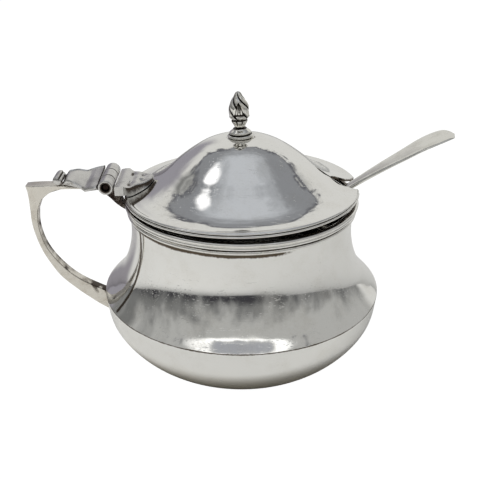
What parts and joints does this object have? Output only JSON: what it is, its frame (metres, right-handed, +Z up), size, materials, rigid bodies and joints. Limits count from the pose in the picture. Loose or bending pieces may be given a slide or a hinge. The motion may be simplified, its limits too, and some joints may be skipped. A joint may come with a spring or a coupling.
{
  "type": "covered condiment pot",
  "caption": "Low-bellied silver pot with a hinged domed lid, flame finial, strap handle and a spoon through a notch in the lid rim.",
  "frame": {"origin": "centre of the flat face the pot rests on", "axes": "+Z up along the axis of the bowl, +X from the handle towards the spoon, Y along the hinge pin"},
  "size_m": [0.1249, 0.084, 0.0828],
  "materials": {
    "polished_silver": "polished silver with fine wear scratches",
    "wire_silver": "polished silver, dark tarnish between the beads",
    "cast_silver": "cast silver, satin, oxidised in the hollows",
    "dark_silver": "unpolished, tarnished silver"
  },
  "bodies": {
    "pot": {"lower_bowl": "polished_silver", "body_wall": "polished_silver", "mouth_wire": "wire_silver", "neck_wire": "wire_silver", "handle": "cast_silver", "hinge_bracket": "dark_silver", "fixed_leaf": "cast_silver", "knuckle_near": "cast_silver", "knuckle_far": "cast_silver", "hinge_pin": "dark_silver"},
    "lid": {"lid_dome": "polished_silver", "lid_rim_wire": "wire_silver", "lid_leaf": "cast_silver", "knuckle_lid": "cast_silver", "finial_collar": "cast_silver", "finial_bud": "cast_silver", "finial_nut": "dark_silver"},
    "spoon": {"spoon": "polished_silver"}
  },
  "joints": [
    {"name": "lid_hinge", "type": "hinge", "parent": "pot", "child": "lid", "pos_m": [-0.0389, 0, 0.0561], "axis": [0, -1, 0], "range_deg": [0, 105]},
    {"name": "spoon_slide", "type": "slide", "parent": "pot", "child": "spoon", "axis": [0.8321, 0, 0.5547], "range_m": [0, 0.025]}
  ]
}
